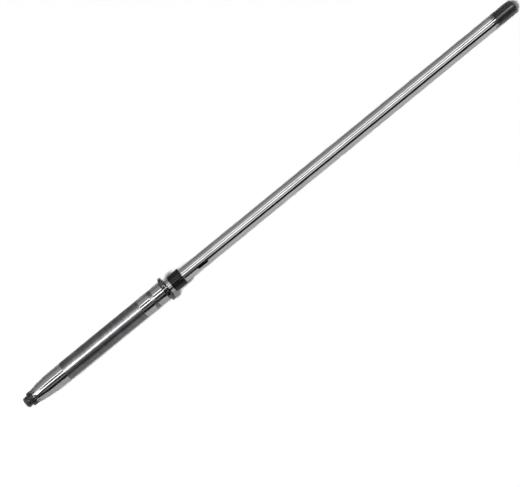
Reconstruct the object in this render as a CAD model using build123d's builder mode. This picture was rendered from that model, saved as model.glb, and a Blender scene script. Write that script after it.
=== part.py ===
from build123d import *
import os
from math import pi, radians, tan

# A vertical drive shaft laid on its side. X runs along the shaft, from the threaded lower end to the splined
# upper end. The origin is on the axis, in the middle of the upper bearing seat's relief band.

# Threaded tip, below the lower spline
thread_diameter = 14.0
thread_length = 5.2
thread_chamfer = 1.5
thread_relief_diameter = 12.4
thread_relief_length = 1.6

# Lower spline, which runs out into the cone
lower_teeth = 15
lower_spline_diameter = 17.8
lower_spline_length = 6.8
lower_spline_depth = 1.2
lower_spline_chamfer = 0.9
lower_full_depth_length = 3.8
lower_spline_turn = 0.7

# Cone, lower journal and thick body; the cone's length is to the sharp corner under its blend
cone_length = 18.8
cone_blend_radius = 110.0
lower_journal_diameter = 24.0
lower_journal_length = 28.1
body_diameter = 24.6
body_length = 118.0
body_chamfer = 0.2

# Upper bearing seat: two ground rings, just larger than the body, with a relief band between them
seat_diameter = 25.0
seat_chamfer = 0.15
lower_ring_length = 15.4
relief_diameter = 24.3
relief_length = 5.0
upper_ring_length = 14.7

# Thrust flange
flange_diameter = 32.0
flange_thickness = 4.0
flange_lower_fillet = 1.6
flange_upper_fillet = 1.4
flange_rim_fillet = 0.6

# Neck, where the seal sleeve is pressed on and which reaches just past it, and the long shaft above
neck_diameter = 18.6
neck_end_chamfer = 0.2
neck_reach = 0.3
shaft_diameter = 18.0
shaft_length = 532.4
end_chamfer_length = 3.4
end_chamfer_height = 3.2
end_chamfer_rounding = 2.2

# Seal sleeve: its stand-off is from the flange's upper face
sleeve_diameter = 22.4
sleeve_standoff = 6.2
sleeve_length = 16.9
sleeve_lower_chamfer = 1.3
sleeve_upper_chamfer = 0.35
sleeve_bore_chamfer = 0.4

# Half-moon key seat: its height is from the flange's upper face, its turn from +Z towards -Y
key_seat_height = 50.7
key_seat_turn = 60.0
key_width = 4.0
key_cutter_radius = 8.0
key_seat_depth = 5.0

# Upper spline
upper_teeth = 17
upper_spline_length = 29.1
upper_spline_depth = 1.1
upper_spline_turn = 13.0

# Spline form, and the hob that cuts the gaps and leaves their run-outs
flank_angle = 30.0
hob_radius = 16.0
hob_swing = 60.0
hob_overreach = 1.0

# Lathe centres in both ends
centre_angle = 60.0
centre_diameter = 5.0
centre_pilot_diameter = 2.2
centre_depth = 5.4

# Stations along the shaft, from one end to the other
lower_ring_start = -relief_length / 2 - lower_ring_length
body_start = lower_ring_start - body_length
cone_end = body_start - lower_journal_length
cone_start = cone_end - cone_length
lower_spline_start = cone_start - lower_spline_length
thread_end = lower_spline_start - thread_relief_length
lower_end = thread_end - thread_length
flange_start = relief_length / 2 + upper_ring_length
flange_end = flange_start + flange_thickness
sleeve_start = flange_end + sleeve_standoff
sleeve_end = sleeve_start + sleeve_length
neck_end = sleeve_end + neck_reach
upper_end = flange_end + shaft_length
key_seat_station = flange_end + key_seat_height

# Planes square to the shaft that face its upper and its lower end
up_plane = Plane.YZ
down_plane = Plane(origin=(0, 0, 0), x_dir=(0, -1, 0), z_dir=(-1, 0, 0))

# How far from a station an edge or corner may lie and still belong to it
reach = 0.01


def rings(part, station):
    """The circular edges at a station along the shaft, the smallest first."""
    circles = part.edges().filter_by(GeomType.CIRCLE)
    return circles.filter_by_position(Axis.X, station - reach, station + reach).sort_by(SortBy.RADIUS)


def corner(sketch, station, diameter):
    """The corner of an outline at a station and a diameter."""
    return sketch.vertices().sort_by_distance((station, diameter / 2))[0]


def spline_gap(teeth, diameter, depth, length):
    """The space between two teeth, along +Z and open towards +Y, with its run-out below z = 0."""
    root_radius = diameter / 2 - depth
    pitch_radius = diameter / 2 - depth / 2
    top_radius = diameter / 2 + hob_overreach
    spread = tan(radians(flank_angle))
    pitch_half_width = pi * pitch_radius / (2 * teeth)
    root_half_width = pitch_half_width - (pitch_radius - root_radius) * spread
    top_half_width = pitch_half_width + (top_radius - pitch_radius) * spread
    hob_axis = Axis((0, root_radius + hob_radius, 0), (1, 0, 0))
    with BuildPart() as gap:
        with BuildSketch() as section:
            with BuildLine():
                Polyline(
                    (-root_half_width, root_radius),
                    (root_half_width, root_radius),
                    (top_half_width, top_radius),
                    (-top_half_width, top_radius),
                    close=True,
                )
            make_face()
        extrude(amount=length)
        revolve(section.sketch, axis=hob_axis, revolution_arc=hob_swing)
    return gap.part


upper_gap = spline_gap(
    upper_teeth, shaft_diameter, upper_spline_depth, upper_spline_length + hob_overreach
)
lower_gap = spline_gap(
    lower_teeth,
    lower_spline_diameter,
    lower_spline_depth,
    lower_full_depth_length + hob_overreach,
)

# The shaft, one turned bar from the threaded tip to the upper spline
with BuildPart() as shaft:
    with BuildSketch(Plane.XZ) as outline:
        with BuildLine():
            Polyline(
                (lower_end, 0),
                (lower_end, thread_diameter / 2),
                (thread_end, thread_diameter / 2),
                (thread_end, thread_relief_diameter / 2),
                (lower_spline_start, thread_relief_diameter / 2),
                (lower_spline_start, lower_spline_diameter / 2),
                (cone_start, lower_spline_diameter / 2),
                (cone_end, lower_journal_diameter / 2),
                (body_start, lower_journal_diameter / 2),
                (body_start, body_diameter / 2),
                (lower_ring_start, body_diameter / 2),
                (lower_ring_start, seat_diameter / 2),
                (-relief_length / 2, seat_diameter / 2),
                (-relief_length / 2, relief_diameter / 2),
                (relief_length / 2, relief_diameter / 2),
                (relief_length / 2, seat_diameter / 2),
                (flange_start, seat_diameter / 2),
                (flange_start, flange_diameter / 2),
                (flange_end, flange_diameter / 2),
                (flange_end, neck_diameter / 2),
                (neck_end, neck_diameter / 2),
                (neck_end, shaft_diameter / 2),
                (upper_end - end_chamfer_length, shaft_diameter / 2),
                (upper_end, shaft_diameter / 2 - end_chamfer_height),
                (upper_end, 0),
                close=True,
            )
        make_face()
        fillet(corner(outline, cone_end, lower_journal_diameter), cone_blend_radius)
        fillet(corner(outline, flange_start, seat_diameter), flange_lower_fillet)
        fillet(corner(outline, flange_end, neck_diameter), flange_upper_fillet)
        fillet(corner(outline, upper_end - end_chamfer_length, shaft_diameter), end_chamfer_rounding)
    revolve(axis=Axis.X)

    chamfer(rings(shaft, lower_end)[-1], thread_chamfer)
    chamfer(rings(shaft, lower_spline_start)[-1], lower_spline_chamfer)
    chamfer(rings(shaft, body_start)[-1], body_chamfer)
    chamfer(rings(shaft, lower_ring_start)[-1], seat_chamfer)
    fillet([rings(shaft, flange_start)[-1], rings(shaft, flange_end)[-1]], flange_rim_fillet)
    chamfer(rings(shaft, neck_end)[-1], neck_end_chamfer)

    # Tooth gaps of both splines, with the run-outs that the hob leaves
    with Locations(up_plane.offset(upper_end - upper_spline_length)):
        with PolarLocations(0, upper_teeth, start_angle=upper_spline_turn):
            add(upper_gap, mode=Mode.SUBTRACT)
    with Locations(down_plane.offset(-lower_spline_start - lower_full_depth_length)):
        with PolarLocations(0, lower_teeth, start_angle=-lower_spline_turn):
            add(lower_gap, mode=Mode.SUBTRACT)

    # Key seat, left by a disc cutter sunk square to the axis
    key_cutter_height = shaft_diameter / 2 - key_seat_depth + key_cutter_radius
    key_plane = Plane.XZ.rotated((key_seat_turn, 0, 0))
    with BuildSketch(key_plane):
        with Locations((key_seat_station, key_cutter_height)):
            Circle(key_cutter_radius)
    extrude(amount=key_width / 2, both=True, mode=Mode.SUBTRACT)

    # Lathe centres
    with Locations(up_plane.offset(upper_end), down_plane.offset(-lower_end)):
        CounterSinkHole(
            centre_pilot_diameter / 2,
            centre_diameter / 2,
            depth=centre_depth,
            counter_sink_angle=centre_angle,
        )

shaft.part.label = "shaft"

# The seal sleeve, pressed on the neck
with BuildPart() as seal_sleeve:
    with BuildSketch(Plane.XZ):
        with BuildLine():
            Polyline(
                (sleeve_start, neck_diameter / 2),
                (sleeve_start, sleeve_diameter / 2),
                (sleeve_end, sleeve_diameter / 2),
                (sleeve_end, neck_diameter / 2),
                close=True,
            )
        make_face()
    revolve(axis=Axis.X)
    chamfer(rings(seal_sleeve, sleeve_start)[-1], sleeve_lower_chamfer)
    chamfer(rings(seal_sleeve, sleeve_end)[-1], sleeve_upper_chamfer)
    chamfer(rings(seal_sleeve, sleeve_end)[0], sleeve_bore_chamfer)

seal_sleeve.part.label = "seal_sleeve"

os.makedirs("parts", exist_ok=True)
export_step(shaft.part, "parts/shaft.step")
export_step(seal_sleeve.part, "parts/seal_sleeve.step")
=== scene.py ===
import math

import bpy
from mathutils import Matrix, Vector


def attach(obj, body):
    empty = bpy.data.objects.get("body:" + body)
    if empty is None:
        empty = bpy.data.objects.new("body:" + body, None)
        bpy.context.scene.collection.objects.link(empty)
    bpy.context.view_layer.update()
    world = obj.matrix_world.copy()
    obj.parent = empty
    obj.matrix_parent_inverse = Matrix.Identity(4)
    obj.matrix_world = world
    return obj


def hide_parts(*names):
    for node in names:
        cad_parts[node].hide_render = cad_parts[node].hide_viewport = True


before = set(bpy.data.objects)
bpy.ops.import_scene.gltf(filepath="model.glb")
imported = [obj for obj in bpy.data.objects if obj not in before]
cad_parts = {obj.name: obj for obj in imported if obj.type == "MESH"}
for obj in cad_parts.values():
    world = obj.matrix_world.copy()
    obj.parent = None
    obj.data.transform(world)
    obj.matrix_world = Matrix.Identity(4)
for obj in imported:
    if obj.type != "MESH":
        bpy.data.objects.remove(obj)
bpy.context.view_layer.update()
scene = bpy.context.scene
scene.view_settings.view_transform = "Standard"
mm = 0.001
samePlace = 0.000001  # in metres: points nearer than this are one
print("stage 1: CAD frame loaded")


# small helpers for modelling by hand

def deselectAll():
    bpy.ops.object.select_all(action="DESELECT")


def makeActive(piece):
    deselectAll()
    piece.select_set(True)
    bpy.context.view_layer.objects.active = piece


def selectNothing(piece):
    # in object mode, as in the two below
    for part in (*piece.data.vertices, *piece.data.edges, *piece.data.polygons):
        part.select = False


def selectVerts(piece, wanted):
    # only the vertices whose place passes the test
    selectNothing(piece)
    for vert in piece.data.vertices:
        vert.select = wanted(vert.co)


def selectFaces(piece, wanted):
    # only the faces that pass the test
    selectNothing(piece)
    for face in piece.data.polygons:
        face.select = wanted(face)


def editAll(piece):
    makeActive(piece)
    bpy.ops.object.mode_set(mode="EDIT")
    bpy.ops.mesh.select_mode(type="VERT")
    bpy.ops.mesh.select_all(action="SELECT")


def tidyMesh(piece):
    editAll(piece)
    bpy.ops.mesh.remove_doubles(threshold=samePlace)
    bpy.ops.mesh.normals_make_consistent(inside=False)
    bpy.ops.object.mode_set(mode="OBJECT")


def startPoint(name, place):
    # a new piece in edit mode, of one point
    deselectAll()
    bpy.ops.mesh.primitive_plane_add(size=mm)
    piece = bpy.context.object
    piece.name = name
    piece.data.name = name
    bpy.ops.object.mode_set(mode="EDIT")
    bpy.ops.mesh.merge(type="CENTER")
    bpy.ops.transform.translate(value=place)
    return piece


def drawTo(step):
    bpy.ops.mesh.extrude_region_move(TRANSFORM_OT_translate={"value": step})


def drawOutline(name, corners):
    # one point is drawn out from corner to corner; a corner is x, radius and, where it is rounded,
    # the length cut from each side and the number of segments, all in mm
    x, radius = corners[0][:2]
    piece = startPoint(name, (x * mm, 0, radius * mm))
    for corner in corners[1:]:
        drawTo(((corner[0] - x) * mm, 0, (corner[1] - radius) * mm))
        x, radius = corner[:2]
    bpy.ops.object.mode_set(mode="OBJECT")
    for corner in corners:
        if len(corner) < 4:
            continue
        place = Vector((corner[0] * mm, 0, corner[1] * mm))
        selectVerts(piece, lambda co: (co - place).length < 2 * samePlace)
        bpy.ops.object.mode_set(mode="EDIT")
        bpy.ops.mesh.select_mode(type="VERT")
        bpy.ops.mesh.bevel(offset=corner[2] * mm, segments=corner[3], affect="VERTICES")
        bpy.ops.object.mode_set(mode="OBJECT")
    return piece


def spinRound(piece, steps):
    # the outline goes once round the X axis
    editAll(piece)
    bpy.ops.mesh.spin(steps=steps, angle=2 * math.pi, center=(0, 0, 0), axis=(1, 0, 0))
    bpy.ops.object.mode_set(mode="OBJECT")
    tidyMesh(piece)


def turnAboutShaft(piece, degrees):
    # by the right-hand rule about +X; the operator itself turns the other way
    editAll(piece)
    bpy.ops.transform.rotate(value=-math.radians(degrees), orient_axis="X", center_override=(0, 0, 0))
    bpy.ops.object.mode_set(mode="OBJECT")


def copyOf(piece):
    makeActive(piece)
    bpy.ops.object.duplicate(linked=False)
    return bpy.context.object


def joinAll(parts):
    deselectAll()
    for part in parts:
        part.select_set(True)
    bpy.context.view_layer.objects.active = parts[0]
    bpy.ops.object.join()
    return parts[0]


def cutAway(piece, cutter):
    makeActive(piece)
    cut = piece.modifiers.new("cut", "BOOLEAN")
    cut.operation = "DIFFERENCE"
    cut.solver = "EXACT"
    cut.material_mode = "TRANSFER"
    cut.object = cutter
    bpy.ops.object.modifier_apply(modifier=cut.name)
    bpy.data.objects.remove(cutter, do_unlink=True)


def smoothBelow(piece, degrees):
    # edges that turn by more than this stay sharp
    makeActive(piece)
    bpy.ops.object.shade_smooth_by_angle(angle=math.radians(degrees))


# material helpers

def newMaterial(name):
    material = bpy.data.materials.new(name)
    material.use_nodes = True
    nodes = material.node_tree.nodes
    return material, nodes, material.node_tree.links, nodes["Principled BSDF"]


def feed(links, value, socket):
    # a value is another node's output or a plain number
    if isinstance(value, bpy.types.NodeSocket):
        links.new(value, socket)
    else:
        socket.default_value = value


def calculate(nodes, links, operation, first, second):
    node = nodes.new("ShaderNodeMath")
    node.operation = operation
    feed(links, first, node.inputs[0])
    feed(links, second, node.inputs[1])
    return node.outputs[0]


def stretchedNoise(nodes, links, scale, detail):
    # noise on the piece's own coordinates, stretched to the three scales, in features per metre
    where = nodes.new("ShaderNodeTexCoord")
    mapping = nodes.new("ShaderNodeMapping")
    mapping.inputs["Scale"].default_value = scale
    noise = nodes.new("ShaderNodeTexNoise")
    noise.inputs["Scale"].default_value = 1.0
    noise.inputs["Detail"].default_value = detail
    noise.inputs["Roughness"].default_value = 0.55
    links.new(where.outputs["Object"], mapping.inputs["Vector"])
    links.new(mapping.outputs["Vector"], noise.inputs["Vector"])
    return noise.outputs["Fac"]


def spread(nodes, links, value, low, high, fromLow=0.3, fromHigh=0.7):
    # the value brought into the range from low to high; noise stays mostly within 0.3 to 0.7
    remap = nodes.new("ShaderNodeMapRange")
    remap.inputs["From Min"].default_value = fromLow
    remap.inputs["From Max"].default_value = fromHigh
    remap.inputs["To Min"].default_value = low
    remap.inputs["To Max"].default_value = high
    links.new(value, remap.inputs["Value"])
    return remap.outputs["Result"]


def grey(level):
    return (level, level, level, 1.0)


def mixColours(nodes, links, amount, first, second):
    mix = nodes.new("ShaderNodeMix")
    mix.data_type = "RGBA"
    feed(links, first, mix.inputs["A"])
    feed(links, second, mix.inputs["B"])
    links.new(amount, mix.inputs["Factor"])
    return mix.outputs["Result"]


def timesShade(nodes, links, colour, shade):
    scaled = nodes.new("ShaderNodeVectorMath")
    scaled.operation = "SCALE"
    links.new(colour, scaled.inputs[0])
    links.new(shade, scaled.inputs["Scale"])
    return scaled.outputs[0]


def addBump(nodes, links, height, distance, strength, before=None):
    bump = nodes.new("ShaderNodeBump")
    bump.inputs["Distance"].default_value = distance
    bump.inputs["Strength"].default_value = strength
    links.new(height, bump.inputs["Height"])
    if before is not None:
        links.new(before, bump.inputs["Normal"])
    return bump.outputs["Normal"]


def acrossTheLines(nodes, links):
    # the direction on the surface that is square to the turning lines, which run round the X axis
    where = nodes.new("ShaderNodeTexCoord")
    split = nodes.new("ShaderNodeSeparateXYZ")
    links.new(where.outputs["Object"], split.inputs[0])
    along = nodes.new("ShaderNodeCombineXYZ")
    links.new(calculate(nodes, links, "MULTIPLY", split.outputs["Z"], -1.0), along.inputs["Y"])
    links.new(split.outputs["Y"], along.inputs["Z"])
    shape = nodes.new("ShaderNodeNewGeometry")
    cross = nodes.new("ShaderNodeVectorMath")
    cross.operation = "CROSS_PRODUCT"
    links.new(shape.outputs["Normal"], cross.inputs[0])
    links.new(along.outputs[0], cross.inputs[1])
    unit = nodes.new("ShaderNodeVectorMath")
    unit.operation = "NORMALIZE"
    links.new(cross.outputs[0], unit.inputs[0])
    return unit.outputs[0]


lineStrength = 0.6  # of the bump that turning and grinding lines give
grainStrength = 0.5

# in every look, lines, bands, patches and grain are counts to the metre along X, Y and Z, heights are
# in metres, and edgeTint is how bright the steel is where it is seen edge on


# ground steel: the long shaft, a duller one for the lower journal, the bearing rings and the neck, a
# darker one for the flange after its heat treatment, and a nearly black one on the milled key seat,
# which is painted shade for the inside of its recess

shaftLook = {
    "light": (0.46, 0.46, 0.465, 1.0),
    "dark": (0.40, 0.40, 0.405, 1.0),
    "smoothest": 0.08,
    "roughest": 0.12,
    "lines": (2600.0, 26.0, 26.0),
    "patches": (38.0, 70.0, 70.0),
    "lineHeight": 0.0000025,
    "edgeTint": 0.5,
}

journalLook = {
    "light": (0.39, 0.39, 0.395, 1.0),
    "dark": (0.33, 0.33, 0.335, 1.0),
    "smoothest": 0.10,
    "roughest": 0.15,
    "lines": (3200.0, 30.0, 30.0),
    "patches": (60.0, 90.0, 90.0),
    "lineHeight": 0.0000035,
    "edgeTint": 0.5,
}

flangeLook = {
    "light": (0.125, 0.125, 0.127, 1.0),
    "dark": (0.090, 0.090, 0.092, 1.0),
    "smoothest": 0.06,
    "roughest": 0.10,
    "lines": (2000.0, 20.0, 20.0),
    "patches": (90.0, 120.0, 120.0),
    "lineHeight": 0.000006,
    "edgeTint": 1.0,
}

# nearly black steel for the key seat: painted shade standing in for the dark inside of the recess
keySeatShadeLook = {
    "light": (0.055, 0.055, 0.056, 1.0),
    "dark": (0.030, 0.030, 0.031, 1.0),
    "smoothest": 0.06,
    "roughest": 0.12,
    "lines": (900.0, 900.0, 900.0),
    "patches": (300.0, 300.0, 300.0),
    "lineHeight": 0.000010,
    "edgeTint": 0.5,
}


def makeGroundSteel(name, look):
    material, nodes, links, steel = newMaterial(name)
    steel.inputs["Metallic"].default_value = 1.0
    steel.inputs["Specular Tint"].default_value = grey(look["edgeTint"])
    lines = stretchedNoise(nodes, links, look["lines"], detail=2.0)
    patches = stretchedNoise(nodes, links, look["patches"], detail=4.0)
    darkness = spread(nodes, links, patches, 0.0, 1.0)
    colour = mixColours(nodes, links, darkness, look["light"], look["dark"])
    links.new(colour, steel.inputs["Base Color"])
    rough = spread(nodes, links, lines, look["smoothest"], look["roughest"])
    links.new(rough, steel.inputs["Roughness"])
    normal = addBump(nodes, links, lines, look["lineHeight"], lineStrength)
    links.new(normal, steel.inputs["Normal"])
    return material


# satin steel: the thick body and the relief band, left as turned and lightly blasted

satinLook = {
    "light": (0.157, 0.157, 0.161, 1.0),
    "dark": (0.130, 0.130, 0.133, 1.0),
    "smoothest": 0.36,
    "roughest": 0.42,
    "stretch": 0.75,  # how far the turning lines spread the light along the shaft
    "lines": (1700.0, 12.0, 12.0),
    "bands": (320.0, 60.0, 60.0),
    "bandShades": (0.86, 1.14),  # the darkest and the lightest band
    "bandRange": (0.35, 0.65),  # the part of the noise that the shades are spread over
    "patches": (55.0, 90.0, 90.0),
    "grain": (2600.0, 2600.0, 2600.0),
    "lineHeight": 0.000010,
    "grainHeight": 0.000006,
    "edgeTint": 0.7,
}


def makeSatinSteel():
    look = satinLook
    material, nodes, links, steel = newMaterial("satinSteel")
    steel.inputs["Metallic"].default_value = 1.0
    steel.inputs["Specular Tint"].default_value = grey(look["edgeTint"])
    steel.inputs["Anisotropic"].default_value = look["stretch"]
    links.new(acrossTheLines(nodes, links), steel.inputs["Tangent"])
    lines = stretchedNoise(nodes, links, look["lines"], detail=2.0)
    bands = stretchedNoise(nodes, links, look["bands"], detail=2.0)
    patches = stretchedNoise(nodes, links, look["patches"], detail=4.0)
    grain = stretchedNoise(nodes, links, look["grain"], detail=2.0)
    darkness = spread(nodes, links, patches, 0.0, 1.0)
    colour = mixColours(nodes, links, darkness, look["light"], look["dark"])
    shade = spread(nodes, links, bands, *look["bandShades"], *look["bandRange"])
    links.new(timesShade(nodes, links, colour, shade), steel.inputs["Base Color"])
    rough = spread(nodes, links, lines, look["smoothest"], look["roughest"])
    links.new(rough, steel.inputs["Roughness"])
    turned = addBump(nodes, links, lines, look["lineHeight"], lineStrength)
    blasted = addBump(nodes, links, grain, look["grainHeight"], grainStrength, turned)
    links.new(blasted, steel.inputs["Normal"])
    return material


# black oxide: splines, thread and lathe centres; the same black is also painted into the corners beside
# the flange as shade

oxideLook = {
    "black": (0.004, 0.004, 0.0044, 1.0),
    "worn": (0.013, 0.013, 0.0128, 1.0),
    "wearRange": (0.45, 0.70),  # the part of the noise over which the black gives way to the worn tone
    # the pale edge colour is partly bare steel where the oxide is worn off and partly a painted highlight
    # along the tooth crests
    "edge": (0.30, 0.30, 0.30, 1.0),
    "edgeRange": (0.53, 0.62),  # of the pointiness, over which the pale edge comes through: worn bare edges, and also a painted highlight on the tooth crests
    "smoothest": 0.25,
    "roughest": 0.36,
    "gloss": 0.30,
    "grain": (1800.0, 1800.0, 1800.0),
    "patches": (120.0, 240.0, 240.0),
    "grainHeight": 0.000008,
}


def makeBlackOxide():
    look = oxideLook
    material, nodes, links, oxide = newMaterial("blackOxide")
    oxide.inputs["Specular IOR Level"].default_value = look["gloss"]
    grain = stretchedNoise(nodes, links, look["grain"], detail=3.0)
    patches = stretchedNoise(nodes, links, look["patches"], detail=4.0)
    wear = spread(nodes, links, patches, 0.0, 1.0, *look["wearRange"])
    colour = mixColours(nodes, links, wear, look["black"], look["worn"])
    # pale edges: worn oxide, and also a painted highlight along the spline crests
    shape = nodes.new("ShaderNodeNewGeometry")
    edges = spread(nodes, links, shape.outputs["Pointiness"], 0.0, 1.0, *look["edgeRange"])
    colour = mixColours(nodes, links, edges, colour, look["edge"])
    links.new(colour, oxide.inputs["Base Color"])
    rough = spread(nodes, links, grain, look["smoothest"], look["roughest"])
    links.new(rough, oxide.inputs["Roughness"])
    normal = addBump(nodes, links, grain, look["grainHeight"], grainStrength)
    links.new(normal, oxide.inputs["Normal"])
    return material


# black sleeve: black oxide over fine turning lines, smooth enough to show a thin bright line

sleeveLook = {
    "black": (0.004, 0.004, 0.0045, 1.0),
    "worn": (0.009, 0.009, 0.0095, 1.0),
    "smoothest": 0.03,
    "roughest": 0.07,
    "gloss": 0.24,
    "lines": (3400.0, 14.0, 14.0),
    "patches": (90.0, 120.0, 120.0),
    "lineHeight": 0.000004,
}


def makeSleeveBlack():
    look = sleeveLook
    material, nodes, links, black = newMaterial("sleeveBlack")
    black.inputs["Specular IOR Level"].default_value = look["gloss"]
    lines = stretchedNoise(nodes, links, look["lines"], detail=2.0)
    patches = stretchedNoise(nodes, links, look["patches"], detail=4.0)
    wear = spread(nodes, links, patches, 0.0, 1.0)
    colour = mixColours(nodes, links, wear, look["black"], look["worn"])
    links.new(colour, black.inputs["Base Color"])
    rough = spread(nodes, links, lines, look["smoothest"], look["roughest"])
    links.new(rough, black.inputs["Roughness"])
    normal = addBump(nodes, links, lines, look["lineHeight"], lineStrength)
    links.new(normal, black.inputs["Normal"])
    return material


# the shaft's finishes, in the order of its material slots
finishes = {
    "black": makeBlackOxide(),
    "journal": makeGroundSteel("journalSteel", journalLook),
    "satin": makeSatinSteel(),
    "flange": makeGroundSteel("flangeSteel", flangeLook),
    "shaft": makeGroundSteel("shaftSteel", shaftLook),
}
# the key seat's steel, darkened as painted shade for its recess
keySeatShadeSteel = makeGroundSteel("keySeatShadeSteel", keySeatShadeLook)
sleeveBlack = makeSleeveBlack()
print("stage 2: materials made")


# the splines' tooth gaps, each with the run-out that the hob leaves

upperSpline = {
    "teeth": 17,
    "turn": 13.0,  # degrees from +Z towards -Y
    "fullDepthFrom": 524.5,
    "fullDepthTo": 555.5,
    "outerRadius": 9.0,
    "rootRadius": 7.9,
    "cutRadius": 10.0,  # how far out the cutter reaches
    "rootRounding": 0.25,
}

lowerSpline = {
    "teeth": 15,
    "turn": 0.7,
    "fullDepthFrom": -185.8,
    "fullDepthTo": -190.4,
    "outerRadius": 8.9,
    "rootRadius": 7.7,
    "cutRadius": 9.9,
    "rootRounding": 0.25,
}

flankAngle = 30.0
hob = {"radius": 16.0, "swing": 52.0, "steps": 30}


def gapHalfWidth(spline, radius):
    # teeth and gaps are equally wide half way down the teeth; to the micrometre
    pitchRadius = (spline["outerRadius"] + spline["rootRadius"]) / 2
    atPitch = math.pi * pitchRadius / (2 * spline["teeth"])
    return round(atPitch + (radius - pitchRadius) * math.tan(math.radians(flankAngle)), 3)


def makeGapCutter(name, spline):
    # the gap's section, drawn across the shaft at the end of its full depth
    start = spline["fullDepthFrom"] * mm
    length = (spline["fullDepthTo"] - spline["fullDepthFrom"]) * mm
    low, high = spline["rootRadius"] * mm, spline["cutRadius"] * mm
    rootHalf = gapHalfWidth(spline, spline["rootRadius"]) * mm
    topHalf = gapHalfWidth(spline, spline["cutRadius"]) * mm
    cutter = startPoint(name, (start, -rootHalf, low))
    drawTo((0, 2 * rootHalf, 0))
    drawTo((0, topHalf - rootHalf, high - low))
    drawTo((0, -2 * topHalf, 0))
    bpy.ops.mesh.select_all(action="SELECT")
    bpy.ops.mesh.edge_face_add()
    bpy.ops.object.mode_set(mode="OBJECT")
    selectVerts(cutter, lambda co: co.z < (low + high) / 2)
    bpy.ops.object.mode_set(mode="EDIT")
    bpy.ops.mesh.select_mode(type="VERT")
    bpy.ops.mesh.bevel(offset=spline["rootRounding"] * mm, segments=3, affect="VERTICES")
    # straight part, then the hob's arc
    bpy.ops.mesh.select_all(action="SELECT")
    drawTo((length, 0, 0))
    bpy.ops.object.mode_set(mode="OBJECT")
    selectFaces(cutter, lambda face: abs(face.center.x - start) < samePlace)
    bpy.ops.object.mode_set(mode="EDIT")
    bpy.ops.mesh.select_mode(type="FACE")
    # spin turns the other way too, and the hob runs out away from the straight part
    swing = math.radians(hob["swing"]) * (-1 if length > 0 else 1)
    hobCentre = (start, 0, low + hob["radius"] * mm)
    bpy.ops.mesh.spin(steps=hob["steps"], angle=swing, center=hobCentre, axis=(0, 1, 0))
    bpy.ops.object.mode_set(mode="OBJECT")
    tidyMesh(cutter)
    return cutter


def makeSplineCutter(name, spline):
    first = makeGapCutter(name, spline)
    gaps = [first]
    for k in range(1, spline["teeth"]):
        gap = copyOf(first)
        turnAboutShaft(gap, spline["turn"] + k * 360.0 / spline["teeth"])
        gaps.append(gap)
    turnAboutShaft(first, spline["turn"])
    cutter = joinAll(gaps)
    cutter.data.materials.append(finishes["black"])
    return cutter


# half-moon key seat

keySeat = {
    "station": 71.9,
    "turn": 60.0,  # degrees from +Z towards -Y
    "width": 4.0,
    "cutterRadius": 8.0,
    "cutterHeight": 12.0,  # of the cutter's centre above the axis
    "rimRounding": 0.15,
    "sides": 128,
}


def makeKeyCutter():
    seat = keySeat
    deselectAll()
    bpy.ops.mesh.primitive_cylinder_add(
        vertices=seat["sides"],
        radius=seat["cutterRadius"] * mm,
        depth=seat["width"] * mm,
        location=(seat["station"] * mm, 0, seat["cutterHeight"] * mm),
        rotation=(math.pi / 2, 0, 0),
    )
    cutter = bpy.context.object
    cutter.name = "keyCutter"
    bpy.ops.object.transform_apply(location=True, rotation=True, scale=False)
    # the cutter's rim is worn round, so the seat's floor isn't quite sharp
    for side in (-1, 1):
        selectFaces(cutter, lambda face: face.normal.y * side > 0.5)
        bpy.ops.object.mode_set(mode="EDIT")
        bpy.ops.mesh.select_mode(type="FACE")
        bpy.ops.mesh.bevel(offset=seat["rimRounding"] * mm, segments=2)
        bpy.ops.object.mode_set(mode="OBJECT")
    turnAboutShaft(cutter, seat["turn"])
    # the seat's faces get the nearly black steel, painted shade for the recess
    cutter.data.materials.append(keySeatShadeSteel)
    return cutter


# thread on the lower tip

thread = {
    "pitch": 1.5,
    "rootRadius": 6.22,
    "rootHalfWidth": 0.205,
    "topRadius": 7.1,
    "topHalfWidth": 0.712,
    "from": -198.15,
    "turns": 5,
    "stepsPerTurn": 72,
}


def makeThreadCutter():
    deselectAll()
    middle, low, high = thread["from"], thread["rootRadius"], thread["topRadius"]
    corners = [
        (middle - thread["topHalfWidth"], high),
        (middle - thread["rootHalfWidth"], low),
        (middle + thread["rootHalfWidth"], low),
        (middle + thread["topHalfWidth"], high),
        (middle - thread["topHalfWidth"], high),
    ]
    cutter = drawOutline("threadCutter", corners)
    tidyMesh(cutter)
    screw = cutter.modifiers.new("screw", "SCREW")
    screw.axis = "X"
    screw.angle = 2 * math.pi
    screw.screw_offset = thread["pitch"] * mm
    screw.iterations = thread["turns"]
    screw.steps = thread["stepsPerTurn"]
    screw.render_steps = thread["stepsPerTurn"]
    screw.use_normal_calculate = True
    makeActive(cutter)
    bpy.ops.object.modifier_apply(modifier=screw.name)
    # both ends closed
    bpy.ops.object.mode_set(mode="EDIT")
    bpy.ops.mesh.select_mode(type="EDGE")
    bpy.ops.mesh.select_all(action="DESELECT")
    bpy.ops.mesh.select_non_manifold()
    bpy.ops.mesh.fill_holes(sides=0)
    bpy.ops.object.mode_set(mode="OBJECT")
    tidyMesh(cutter)
    cutter.data.materials.append(finishes["black"])
    return cutter


# the shaft itself, drawn from the threaded tip to the upper spline and turned

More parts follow.
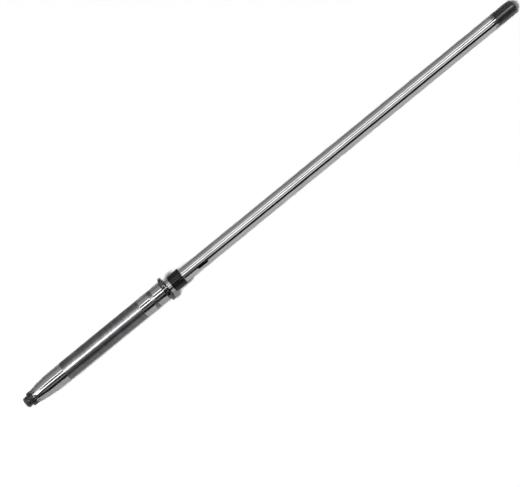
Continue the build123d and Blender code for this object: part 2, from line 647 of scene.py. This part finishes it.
shaftTurned = {
    "steps": 192,
    "smoothAngle": 19.0,
    "outline": [
        (-190.34, 0.0),  # lathe centre in the tip, from its pilot's bottom outwards
        (-191.0, 1.1),
        (-193.975, 1.1),
        (-196.4, 2.5, 0.12, 2),
        (-196.4, 5.5, 0.12, 2),  # threaded tip, chamfered
        (-194.9, 7.0, 0.12, 2),
        (-191.2, 7.0, 0.1, 2),
        (-191.2, 6.2, 0.25, 3),  # thread relief
        (-189.6, 6.2, 0.25, 3),
        (-189.6, 8.0, 0.12, 2),  # lower spline
        (-188.7, 8.9, 0.1, 2),
        (-182.8, 8.9),
        (-182.4, 8.966),  # cone, which runs into the lower journal in a large blend
        (-164.0, 12.0, 9.0, 14),
        (-135.9, 12.0),
        (-135.9, 12.1, 0.04, 2),  # thick body
        (-135.7, 12.3, 0.06, 2),
        (-17.9, 12.3),
        (-17.9, 12.35),  # lower ring of the bearing seat
        (-17.75, 12.5, 0.05, 2),
        (-2.5, 12.5, 0.1, 2),
        (-2.5, 12.15, 0.1, 2),  # relief band
        (2.5, 12.15, 0.1, 2),
        (2.5, 12.5, 0.1, 2),  # upper ring
        (17.2, 12.5, 1.6, 8),
        (17.2, 16.0, 0.6, 5),  # flange
        (21.2, 16.0, 0.6, 5),
        (21.2, 9.3, 1.4, 8),
        (44.4, 9.3, 0.05, 2),  # neck
        (44.6, 9.1),
        (44.6, 9.0),  # long shaft, with a short stretch on which the key seat is cut
        (62.0, 9.0),
        (82.0, 9.0),
        (516.0, 9.0),
        (523.5, 9.0),  # upper spline
        (550.2, 9.0, 0.87, 5),
        (553.6, 5.8, 0.15, 2),
        (553.6, 2.5, 0.12, 2),  # lathe centre in the upper end
        (551.175, 1.1),
        (548.2, 1.1),
        (547.54, 0.0),
    ],
}

# where each finish ends along the shaft, in mm, from the tip on
finishEnds = [
    (-182.6, "black"),
    (-135.85, "journal"),
    (-17.95, "satin"),
    (-2.45, "journal"),
    (2.45, "satin"),
    (15.6, "journal"),
    (22.6, "flange"),
    (44.5, "journal"),
    (523.4, "shaft"),
    (600.0, "black"),
]

# the corners beside the flange, where it meets the ring and the neck, are painted black as shade
paintedShadeCorners = {"middle": 19.2, "reach": 3.4, "radius": 13.9}


def finishAt(station, radius):
    inReach = abs(station - paintedShadeCorners["middle"]) < paintedShadeCorners["reach"]
    # faces inside these corners get the black as painted shade
    if inReach and radius < paintedShadeCorners["radius"]:
        return "black"
    return next(finish for end, finish in finishEnds if station < end)


def makeShaft():
    shaft = drawOutline("shaftTurnedBar", shaftTurned["outline"])
    spinRound(shaft, shaftTurned["steps"])
    for material in finishes.values():
        shaft.data.materials.append(material)
    order = list(finishes)
    for face in shaft.data.polygons:
        finish = finishAt(face.center.x / mm, face.center.yz.length / mm)
        face.material_index = order.index(finish)
    print("  turned", len(shaft.data.polygons), "faces")
    cutAway(shaft, makeSplineCutter("upperGaps", upperSpline))
    print("  upper spline cut", len(shaft.data.polygons), "faces")
    cutAway(shaft, makeSplineCutter("lowerGaps", lowerSpline))
    print("  lower spline cut", len(shaft.data.polygons), "faces")
    cutAway(shaft, makeKeyCutter())
    cutAway(shaft, makeThreadCutter())
    print("  key seat and thread cut", len(shaft.data.polygons), "faces")
    smoothBelow(shaft, shaftTurned["smoothAngle"])
    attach(shaft, "root")
    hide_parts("shaft")


makeShaft()
print("stage 3: shaft made")


# the seal sleeve, pressed on the neck

sleeveTurned = {
    "steps": 192,
    "smoothAngle": 25.0,
    "outline": [
        (27.4, 9.3),
        (27.4, 9.9, 0.15, 3),  # lower chamfer
        (28.7, 11.2, 0.2, 3),
        (43.95, 11.2, 0.1, 3),  # upper chamfer
        (44.3, 10.85, 0.1, 3),
        (44.3, 9.7, 0.08, 2),  # lead-in of the bore
        (43.9, 9.3),
        (27.4, 9.3),
    ],
}


def makeSleeve():
    sleeve = drawOutline("sealSleevePressed", sleeveTurned["outline"])
    spinRound(sleeve, sleeveTurned["steps"])
    sleeve.data.materials.append(sleeveBlack)
    smoothBelow(sleeve, sleeveTurned["smoothAngle"])
    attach(sleeve, "root")
    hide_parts("seal_sleeve")


makeSleeve()
print("stage 4: seal sleeve made")


# pale floor that the flange's rim and the upper end lie on

floorLook = {
    "size": 9.0,
    "under": (20.6, -16.0),  # x and z of the touching point under the flange, in mm
    "slope": 0.7586,  # degrees up towards the upper end
    "colour": 0.88,
    "glow": 0.20,  # how much the camera sees on top of the lamps' light
    "mirrorGlow": 0.04,  # and how much metal mirrors
}


def makeFloor():
    look = floorLook
    deselectAll()
    x, z = look["under"]
    bpy.ops.mesh.primitive_plane_add(
        size=look["size"],
        location=(x * mm, 0, z * mm),
        rotation=(0, -math.radians(look["slope"]), 0),
    )
    floor = bpy.context.object
    floor.name = "floor"
    material, nodes, links, plain = newMaterial("paleFloor")
    nodes.remove(plain)
    paint = nodes.new("ShaderNodeBsdfDiffuse")
    paint.inputs["Color"].default_value = grey(look["colour"])
    path = nodes.new("ShaderNodeLightPath")
    level = calculate(nodes, links, "MULTIPLY", path.outputs["Is Camera Ray"], look["glow"])
    for ray in ("Is Glossy Ray", "Is Transmission Ray"):
        mirrored = calculate(nodes, links, "MULTIPLY", path.outputs[ray], look["mirrorGlow"])
        level = calculate(nodes, links, "ADD", level, mirrored)
    glow = nodes.new("ShaderNodeEmission")
    links.new(level, glow.inputs["Strength"])
    both = nodes.new("ShaderNodeAddShader")
    links.new(paint.outputs[0], both.inputs[0])
    links.new(glow.outputs[0], both.inputs[1])
    links.new(both.outputs[0], nodes["Material Output"].inputs["Surface"])
    floor.data.materials.append(material)


makeFloor()
print("stage 5: floor laid")


# studio light: the key softbox lights the floor and throws the shadow, the satin ones give the turned body
# its broad gleam, and long strips and the pale room, as of a light tent, are what the ground steel mirrors

softboxDistance = 30.0
keySoftbox = {"toward": (-0.52, -0.445, 1.0), "width": 5.6, "level": 102.0}
satinSoftboxes = {
    "satinLowSoftbox": {"toward": (-0.70, -0.268, 0.963), "width": 4.0, "level": 262.0},
    "satinHighSoftbox": {"toward": (0.45, -0.268, 0.963), "width": 4.0, "level": 96.0},
    "satinFarSoftbox": {"toward": (0.75, 0.03, 0.95), "width": 4.0, "level": 105.0},
}

# each strip runs along the shaft; round is its angle in degrees about the shaft, from the near
# horizon over the top, and from and to are where it starts and ends along the shaft, in metres
stripDistance = 1.5
stripLights = {
    "stripNear": {"round": 70.0, "wide": 6.0, "from": -1.2, "to": 1.3, "level": 7.0},
    "stripTop": {"round": 99.0, "wide": 6.5, "from": -1.2, "to": 1.3, "level": 4.6},
    "stripLow": {"round": 41.8, "wide": 7.4, "from": 0.02, "to": 0.95, "level": 2.6},
    "stripLowEnd": {"round": 36.0, "wide": 8.0, "from": -0.9, "to": 0.02, "level": 0.5},
}

backdropLevel = 1.0  # what the camera sees past the floor's edge
roomLevels = [  # degrees about the shaft, as above, and the room's brightness there
    (0, 0.02),
    (26, 0.03),
    (34, 0.10),
    (44, 0.10),
    (52, 0.05),
    (62, 0.20),
    (76, 0.20),
    (84, 0.12),
    (90, 0.30),
    (108, 0.50),
    (120, 0.75),
    (134, 0.60),
    (152, 0.42),
    (170, 0.30),
    (180, 0.30),
]


def frameAt(place, right, up, back):
    # a lamp or camera at the place, looking away from back
    return Matrix.Translation(place) @ Matrix((right, up, back)).transposed().to_4x4()


def addLamp(name, place, aim, size, level, diffuse, glossy):
    # size is its length along the shaft and its width across it, and level how bright it looks
    data = bpy.data.lights.new(name, "AREA")
    data.shape = "RECTANGLE"
    data.size, data.size_y = size
    data.energy = level * math.pi * size[1] * size[0]
    lamp = bpy.data.objects.new(name, data)
    scene.collection.objects.link(lamp)
    back = (place - aim).normalized()
    along = Vector((1, 0, 0))
    along = (along - along.dot(back) * back).normalized()
    lamp.matrix_world = frameAt(place, along, back.cross(along), back)
    lamp.visible_diffuse = diffuse
    lamp.visible_glossy = glossy


def addSoftbox(name, box, diffuse, glossy):
    place = Vector(box["toward"]).normalized() * softboxDistance
    addLamp(name, place, Vector(), (box["width"], box["width"]), box["level"], diffuse, glossy)


def addStrip(name, strip):
    turn = math.radians(strip["round"])
    aim = Vector(((strip["from"] + strip["to"]) / 2, 0, 0))
    place = aim + stripDistance * Vector((0, -math.cos(turn), math.sin(turn)))
    size = (strip["to"] - strip["from"], math.radians(strip["wide"]) * stripDistance)
    addLamp(name, place, aim, size, strip["level"], diffuse=False, glossy=True)


def addLights():
    addSoftbox("keySoftbox", keySoftbox, diffuse=True, glossy=False)
    for name, box in satinSoftboxes.items():
        addSoftbox(name, box, diffuse=False, glossy=True)
    for name, strip in stripLights.items():
        addStrip(name, strip)


def makeRoom():
    world = bpy.data.worlds.new("room")
    scene.world = world
    world.use_nodes = True
    nodes, links = world.node_tree.nodes, world.node_tree.links
    where = nodes.new("ShaderNodeTexCoord")
    split = nodes.new("ShaderNodeSeparateXYZ")
    links.new(where.outputs["Generated"], split.inputs[0])
    near = calculate(nodes, links, "MULTIPLY", split.outputs["Y"], -1.0)
    turn = calculate(nodes, links, "ARCTAN2", split.outputs["Z"], near)
    ramp = nodes.new("ShaderNodeValToRGB")
    links.new(calculate(nodes, links, "DIVIDE", turn, math.pi), ramp.inputs["Fac"])
    stops = ramp.color_ramp.elements
    stops[0].position, stops[1].position = 0.0, 1.0
    while len(stops) < len(roomLevels):
        stops.new(0.5)
    for stop, (degrees, level) in zip(stops, roomLevels):
        stop.position = degrees / 180.0
        stop.color = grey(level)
    room = nodes["Background"]
    links.new(ramp.outputs["Color"], room.inputs["Color"])
    backdrop = nodes.new("ShaderNodeBackground")
    backdrop.inputs["Color"].default_value = grey(backdropLevel)
    path = nodes.new("ShaderNodeLightPath")
    seen = nodes.new("ShaderNodeMixShader")
    links.new(path.outputs["Is Camera Ray"], seen.inputs["Fac"])
    links.new(room.outputs[0], seen.inputs[1])
    links.new(backdrop.outputs[0], seen.inputs[2])
    links.new(seen.outputs[0], nodes["World Output"].inputs["Surface"])
    world.cycles_visibility.diffuse = False  # only metal and the camera see it


addLights()
makeRoom()
print("stage 6: lights set")


# camera at the photograph's angle, from above and in front, turned so that the shaft rises to the right

view = {
    "elevation": 63.0,
    "roll": 39.224,
    "lens": 98.9,
    "sensor": 36.0,
    "distance": 1.7,
    "alongShaft": 0.1397,  # where it looks at, in metres from the origin: along the shaft
    "below": 0.02862,  # and square to it in the picture
    "nearest": 0.05,
    "furthest": 50.0,
}


def placeCamera():
    elevation, roll = math.radians(view["elevation"]), math.radians(view["roll"])
    back = Vector((0, -math.cos(elevation), math.sin(elevation)))
    along = Vector((1, 0, 0))
    below = Vector((0, -math.sin(elevation), -math.cos(elevation)))
    right = math.cos(roll) * along + math.sin(roll) * below
    up = math.sin(roll) * along - math.cos(roll) * below
    target = view["alongShaft"] * along + view["below"] * below
    data = bpy.data.cameras.new("photoCamera")
    data.lens = view["lens"]
    data.sensor_width = view["sensor"]
    data.clip_start = view["nearest"]
    data.clip_end = view["furthest"]
    camera = bpy.data.objects.new("photoCamera", data)
    scene.collection.objects.link(camera)
    camera.matrix_world = frameAt(target + view["distance"] * back, right, up, back)
    scene.camera = camera


placeCamera()
print("stage 7: camera placed")
